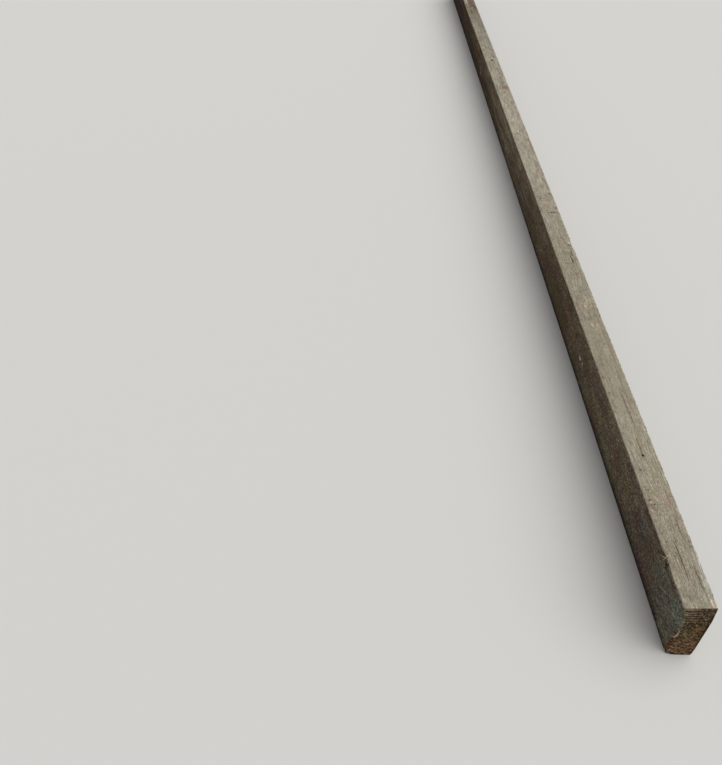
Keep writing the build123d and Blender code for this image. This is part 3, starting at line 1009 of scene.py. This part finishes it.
spruce = weatheredSawnSpruce()
tornFibre = tornSpruceFibre("tornSpruceFibre", "#7b6c58", "#b7a98f")
# a paler copy, painted as lit, for the tuft's fibres that catch the light on the shaded side
litFibre = tornSpruceFibre("litSpruceFibre", "#ad9d80", "#d8cbb0")  # torn lately, not yet greyed
print("wood and torn fibre finished")


# a geometry tree with named inputs, the wood among them, and what comes into it
def newTree(name, inputs):
    tree = bpy.data.node_groups.new(name, "GeometryNodeTree")
    for socket, kind in {"Geometry": "Geometry", **inputs, "wood": "Material"}.items():
        tree.interface.new_socket(socket, in_out="INPUT", socket_type="NodeSocket" + kind)
    tree.interface.new_socket("Geometry", in_out="OUTPUT", socket_type="NodeSocketGeometry")
    return tree, addNode(tree, "NodeGroupInput").outputs


# every tree ends alike, with no instances left and its wood on every face
def finishTree(tree, geometry, wood):
    whole = addNode(tree, "GeometryNodeRealizeInstances", {0: geometry})
    finished = addNode(tree, "GeometryNodeSetMaterial", {0: whole, 2: wood})
    addNode(tree, "NodeGroupOutput", {0: finished})
    return tree


# unevenness of the sawn faces and of the torn end, in mm, all of it into the wood
sawnRelief = {
    "wave": 0.5, "waveLength": 90.0, "ridge": 0.4, "ridgeWidth": 7.0, "ridgeLength": 110.0,
    "tornEnd": 2.2, "tornEndGrain": 5.5, "seed": 3.0,
}


def sawnReliefTree():
    tree, given = newTree("sawnRelief", {name: "Float" for name in sawnRelief})
    place = addNode(tree, "GeometryNodeInputPosition")
    outward = addNode(tree, "GeometryNodeInputNormal")
    torn = addNode(tree, "GeometryNodeInputNamedAttribute", {0: "endWood"}, data_type="FLOAT")
    depth = 0.0
    kinds = [
        ("wave", "waveLength", "waveLength", 1.0), ("ridge", "ridgeWidth", "ridgeLength", 1.0),
        ("tornEnd", "tornEndGrain", "tornEndGrain", torn),
    ]
    for size, acrossLength, alongLength, part in kinds:
        lengths = {0: given[acrossLength], 1: given[alongLength], 2: given[acrossLength]}
        inMm = addNode(tree, "ShaderNodeCombineXYZ", lengths)
        inMetres = addNode(tree, "ShaderNodeVectorMath", {0: inMm, 1: (mm, mm, mm)}, operation="MULTIPLY")
        laid = addNode(tree, "ShaderNodeVectorMath", {0: place, 1: inMetres}, operation="DIVIDE")
        noise = addNode(
            tree, "ShaderNodeTexNoise", {0: laid, "W": given["seed"], "Scale": 1.0, "Detail": 2.0},
            noise_dimensions="4D",
        )
        sized = addNode(tree, "ShaderNodeMath", {0: noise, 1: given[size]}, operation="MULTIPLY")
        depth = addNode(tree, "ShaderNodeMath", {0: sized, 1: part, 2: depth}, operation="MULTIPLY_ADD")
    inward = addNode(tree, "ShaderNodeMath", {0: depth, 1: -mm}, operation="MULTIPLY")
    offset = addNode(tree, "ShaderNodeVectorMath", {0: outward, 3: inward}, operation="SCALE")
    moved = addNode(tree, "GeometryNodeSetPosition", {0: given["Geometry"], 3: offset})
    return finishTree(tree, moved, given["wood"])


# slivers along a path: each a four-sided spike with its own length, thickness, fan and lift
sliverInputs = {
    "count": "Int", "length": "Float", "thickness": "Float", "direction": "Vector", "fan": "Float",
    "scatter": "Float", "flipShare": "Float", "seed": "Int",
}


def sliverTree():
    tree, given = newTree("arrisSlivers", sliverInputs)
    path = addNode(tree, "GeometryNodeMeshToCurve", {0: given["Geometry"]})
    spots = addNode(tree, "GeometryNodeCurveToPoints", {0: path, 1: given["count"]}, mode="COUNT")
    spread = addNode(tree, "ShaderNodeMath", {0: given["scatter"], 1: mm}, operation="MULTIPLY")
    less = addNode(tree, "ShaderNodeMath", {0: spread, 1: -1.0}, operation="MULTIPLY")
    jitter = {0: less, 1: spread, "Seed": given["seed"]}
    jitter = addNode(tree, "FunctionNodeRandomValue", jitter, data_type="FLOAT_VECTOR")
    placed = addNode(tree, "GeometryNodeSetPosition", {0: spots, 3: jitter})
    draws = {}
    for offset, name in enumerate(("turn", "tip", "long", "thick", "flip")):
        ownSeed = addNode(tree, "ShaderNodeMath", {0: given["seed"], 1: 11.0 + offset}, operation="ADD")
        draw = addNode(tree, "FunctionNodeRandomValue", {2: 0.0, 3: 1.0, "Seed": ownSeed}, data_type="FLOAT")
        draws[name] = draw.outputs[1]
    flipped = {0: draws["flip"], 1: given["flipShare"]}
    flipped = addNode(tree, "ShaderNodeMath", flipped, operation="LESS_THAN")
    sign = addNode(tree, "ShaderNodeMath", {0: flipped, 1: -2.0, 2: 1.0}, operation="MULTIPLY_ADD")
    heading = addNode(tree, "ShaderNodeVectorMath", {0: given["direction"], 3: sign}, operation="SCALE")
    aimed = addNode(tree, "FunctionNodeAlignRotationToVector", {"Vector": heading}, axis="Z")
    fanRadians = addNode(tree, "ShaderNodeMath", {0: given["fan"]}, operation="RADIANS")
    angles = []
    for name in ("turn", "tip"):
        centred = {0: draws[name], 1: 2.0, 2: -1.0}
        centred = addNode(tree, "ShaderNodeMath", centred, operation="MULTIPLY_ADD")
        angles.append(addNode(tree, "ShaderNodeMath", {0: centred, 1: fanRadians}, operation="MULTIPLY"))
    euler = addNode(tree, "ShaderNodeCombineXYZ", {0: angles[0], 1: angles[1]})
    tilt = addNode(tree, "FunctionNodeEulerToRotation", {0: euler})
    turned = addNode(tree, "FunctionNodeRotateRotation", {0: aimed, 1: tilt}, rotation_space="LOCAL")
    # most are short and thin: each draw is squared, and the least is a quarter of the size
    sized = []
    for name, size in (("thick", "thickness"), ("thick", "thickness"), ("long", "length")):
        squared = addNode(tree, "ShaderNodeMath", {0: draws[name], 1: draws[name]}, operation="MULTIPLY")
        part = addNode(tree, "ShaderNodeMath", {0: squared, 1: 0.75, 2: 0.25}, operation="MULTIPLY_ADD")
        inMm = addNode(tree, "ShaderNodeMath", {0: part, 1: given[size]}, operation="MULTIPLY")
        sized.append(addNode(tree, "ShaderNodeMath", {0: inMm, 1: mm}, operation="MULTIPLY"))
    scale = addNode(tree, "ShaderNodeCombineXYZ", dict(enumerate(sized)))
    spike = addNode(
        tree, "GeometryNodeMeshCone", {"Vertices": 4, "Radius Top": 0.12, "Radius Bottom": 0.5, "Depth": 1.0}
    )
    slivers = addNode(
        tree, "GeometryNodeInstanceOnPoints",
        {"Points": placed, "Instance": spike, "Rotation": turned, "Scale": scale},
    )
    return finishTree(tree, slivers, given["wood"])


# one flake that follows a path: its thickness is given at each point of the path
def flakeTree():
    tree, given = newTree("peeledFlake", {"sides": "Int", "step": "Float"})
    path = addNode(tree, "GeometryNodeMeshToCurve", {0: given["Geometry"]})
    step = addNode(tree, "ShaderNodeMath", {0: given["step"], 1: mm}, operation="MULTIPLY")
    even = addNode(tree, "GeometryNodeResampleCurve", {"Curve": path, "Length": step}, mode="LENGTH")
    thick = addNode(tree, "GeometryNodeInputNamedAttribute", {0: "thick"}, data_type="FLOAT")
    scale = addNode(tree, "ShaderNodeMath", {0: thick, 1: mm}, operation="MULTIPLY")
    profile = addNode(tree, "GeometryNodeCurvePrimitiveCircle", {"Resolution": given["sides"], "Radius": 0.5})
    flake = addNode(
        tree, "GeometryNodeCurveToMesh",
        {"Curve": even, "Profile Curve": profile, "Scale": scale, "Fill Caps": True},
    )
    return finishTree(tree, flake, given["wood"])


# runs a tree on a mesh with its values set by name, and gives a plain mesh
def meshFromTree(name, base, tree, values):
    carrier = bpy.data.objects.new(name + "Base", base)
    bpy.context.scene.collection.objects.link(carrier)
    modifier = carrier.modifiers.new(name, "NODES")
    modifier.node_group = tree
    for socket in tree.interface.items_tree:
        if socket.in_out == "INPUT" and socket.name in values:
            modifier[socket.identifier] = values[socket.name]
    evaluated = carrier.evaluated_get(bpy.context.evaluated_depsgraph_get())
    mesh = bpy.data.meshes.new_from_object(evaluated)
    mesh.name = name
    carrier.modifiers.clear()
    bpy.data.objects.remove(carrier)
    return mesh


# keeps a mesh inside the beam's own box and puts it on the beam
def addPiece(name, mesh):
    points = np.zeros(len(mesh.vertices) * 3)
    mesh.vertices.foreach_get("co", points)
    points = np.clip(points.reshape(-1, 3), cadLow, cadHigh)
    mesh.vertices.foreach_set("co", points.ravel())
    mesh.update()
    piece = bpy.data.objects.new(name, mesh)
    bpy.context.scene.collection.objects.link(piece)
    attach(piece, "root")
    print(name, "made,", sum(len(face.vertices) - 2 for face in mesh.polygons), "triangles")
    return piece


def pathMesh(name, points):
    mesh = bpy.data.meshes.new(name)
    edges = [(k, k + 1) for k in range(len(points) - 1)]
    mesh.from_pydata([(x * mm, (y - beamLength / 2) * mm, z * mm) for x, y, z in points], edges, [])
    return mesh


beamValues = {**sawnRelief, "wood": spruce}
beamMesh = meshFromTree("sawnBeam", meshFromGrid("beamShell"), sawnReliefTree(), beamValues)
beam = addPiece("sawnBeam", beamMesh)
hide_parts("timber_beam")

half = beamWidth / 2
top = beamHeight

# slivers by place: a path of across, station and height, how many there are, their length and thickness,
# where they point and how far they fan out and scatter, and the share that points back, if any
slivers = {
    "upperLeftSlivers": {
        "path": [(0.8 - half, 20, top - 0.8), (0.8 - half, 5380, top - 0.8)], "count": 460, "length": 26,
        "thickness": 2.0, "direction": (0, 1, 0), "fan": 4, "scatter": 0.8, "flipShare": 0.5,
    },
    "upperRightSlivers": {
        "path": [(half - 0.8, 20, top - 0.8), (half - 0.8, 5380, top - 0.8)], "count": 520, "length": 28,
        "thickness": 2.2, "direction": (0, 1, 0), "fan": 4, "scatter": 0.9, "flipShare": 0.5,
    },
    "tearSlivers": {
        "path": [(half - 6, 1404, top - 3), (half - 2, 1512, top - 3)], "count": 46, "length": 34,
        "thickness": 1.8, "direction": (0.03, 1, 0), "fan": 7, "scatter": 2.0, "flipShare": 0.3,
    },
    "gapSlivers": {
        "path": [(half - 9, 1955, top - 2), (half - 3, 2030, top - 2)], "count": 26, "length": 30,
        "thickness": 1.6, "direction": (0.02, 1, 0), "fan": 6, "scatter": 1.5, "flipShare": 0.5,
    },
    "tuft": {
        "path": [(0.3 - half, 126, top - 1), (0.3 - half, 136, top - 9)], "count": 18, "length": 27,
        "thickness": 2.0, "direction": (-0.01, 0.63, -0.78), "fan": 24, "scatter": 0.9, "flipShare": 0.1,
        "wood": litFibre,
    },
    "cutFray": {
        "path": [(2 - half, 1.2, top - 2), (-7, 1.2, top - 2)], "count": 70, "length": 9,
        "thickness": 2.2, "direction": (0, -0.15, -1), "fan": 16, "scatter": 1.0,
    },
    "cutFrayRight": {
        "path": [(-6, 1.2, top - 1.5), (half - 2, 1.2, top - 1.5)], "count": 30, "length": 6,
        "thickness": 1.6, "direction": (0, -0.15, -1), "fan": 16, "scatter": 0.8,
    },
    "levelSplinters": {
        "path": [(4 - half, 0.9, 158), (9 - half, 0.9, 134)], "count": 12, "length": 24,
        "thickness": 1.7, "direction": (1, 0, -0.04), "fan": 4, "scatter": 2.0,
    },
    "leaningSplinters": {
        "path": [(19 - half, 1.4, 78), (30 - half, 1.4, 66)], "count": 7, "length": 20,
        "thickness": 2.2, "direction": (0.76, 0, -0.64), "fan": 6, "scatter": 2.0,
    },
    "footSplinters": {
        "path": [(5 - half, 1.7, 50), (34 - half, 1.7, 36)], "count": 14, "length": 16,
        "thickness": 1.8, "direction": (0.96, 0, -0.26), "fan": 14, "scatter": 4.0,
    },
    "footFibres": {
        "path": [(2 - half, 2, 6), (10 - half, 2, 24)], "count": 26, "length": 6,
        "thickness": 1.8, "direction": (0.5, -0.1, 0.8), "fan": 40, "scatter": 5.0, "flipShare": 0.5,
    },
    "tuftAcross": {
        "path": [(2 - half, 129, top - 0.4), (2 - half, 134, top - 0.4)], "count": 6, "length": 17,
        "thickness": 1.5, "direction": (0.96, 0.28, 0), "fan": 20, "scatter": 0.3,
        "wood": litFibre,
    },
}
tree = sliverTree()
for index, (name, values) in enumerate(slivers.items()):
    path = pathMesh(name + "Path", values["path"])
    values = {"wood": tornFibre, "seed": 20 + index, "flipShare": 0.0, **values}
    addPiece(name, meshFromTree(name, path, tree, values))

# flake that has peeled from the cut and curls round its left arris: across, station, height, thickness
peeledFlake = [
    (9 - half, 1.5, 96, 0.8), (8.5 - half, 1.2, 88, 2.6), (7.5 - half, 1.2, 80, 4.0),
    (6 - half, 1.8, 73, 4.6), (3 - half, 2.2, 69, 4.2), (1.8 - half, 5, 68, 3.0), (1.6 - half, 9, 69, 0.8),
]
flakeValues = {"sides": 8, "step": 1.5, "wood": tornFibre}
flakePath = pathMesh("peeledFlakePath", [point[:3] for point in peeledFlake])
addField(flakePath, "thick", [point[3] for point in peeledFlake])
addPiece("peeledFlake", meshFromTree("peeledFlake", flakePath, flakeTree(), flakeValues))

# pale floor and soft light from above and the right
studio = {
    "floorSize": 60.0,
    "floor": "#d6d4cf",
    "sunFrom": (0.50, -0.12, 0.86),
    "sunStrength": 2.5,
    "sunSpread": 75,
    "sky": "#f2f4f8",
    "skyStrength": 0.30,  # on the beam
    "skySeen": 0.9,  # by the camera, and in anything glossy or clear
}


def makeStudio():
    mesh = bpy.data.meshes.new("floor")
    half = studio["floorSize"] / 2
    corners = [(-half, -half, 0), (half, -half, 0), (half, half, 0), (-half, half, 0)]
    mesh.from_pydata(corners, [], [(0, 1, 2, 3)])
    floor = bpy.data.objects.new("floor", mesh)
    bpy.context.scene.collection.objects.link(floor)
    paint = newMaterial("paleFloorPaint")
    colour = hexToLinear(studio["floor"])
    coat = addNode(paint.node_tree, "ShaderNodeBsdfPrincipled", {"Base Color": colour, "Roughness": 0.9})
    addNode(paint.node_tree, "ShaderNodeOutputMaterial", {0: coat})
    mesh.materials.append(paint)
    sun = bpy.data.lights.new("softSun", "SUN")
    sun.energy = studio["sunStrength"]
    sun.angle = math.radians(studio["sunSpread"])
    lamp = bpy.data.objects.new("softSun", sun)
    lamp.rotation_euler = Vector(studio["sunFrom"]).to_track_quat("Z", "Y").to_euler()
    bpy.context.scene.collection.objects.link(lamp)
    world = bpy.data.worlds.new("paleSky")
    world.use_nodes = True
    tree = world.node_tree
    tree.nodes.clear()
    ray = addNode(tree, "ShaderNodeLightPath").outputs
    seen = {0: ray["Is Camera Ray"], 1: ray["Is Glossy Ray"]}
    seen = addNode(tree, "ShaderNodeMath", seen, operation="MAXIMUM")
    seen = addNode(tree, "ShaderNodeMath", {0: seen, 1: ray["Is Transmission Ray"]}, operation="MAXIMUM")
    levels = {0: seen, 3: studio["skyStrength"], 4: studio["skySeen"]}
    strength = addNode(tree, "ShaderNodeMapRange", levels)
    sky = addNode(tree, "ShaderNodeBackground", {0: hexToLinear(studio["sky"]), 1: strength})
    addNode(tree, "ShaderNodeOutputWorld", {0: sky})
    bpy.context.scene.world = world
    bpy.context.scene.view_settings.view_transform = "Standard"


makeStudio()
print("floor and light set")

bpy.context.view_layer.update()
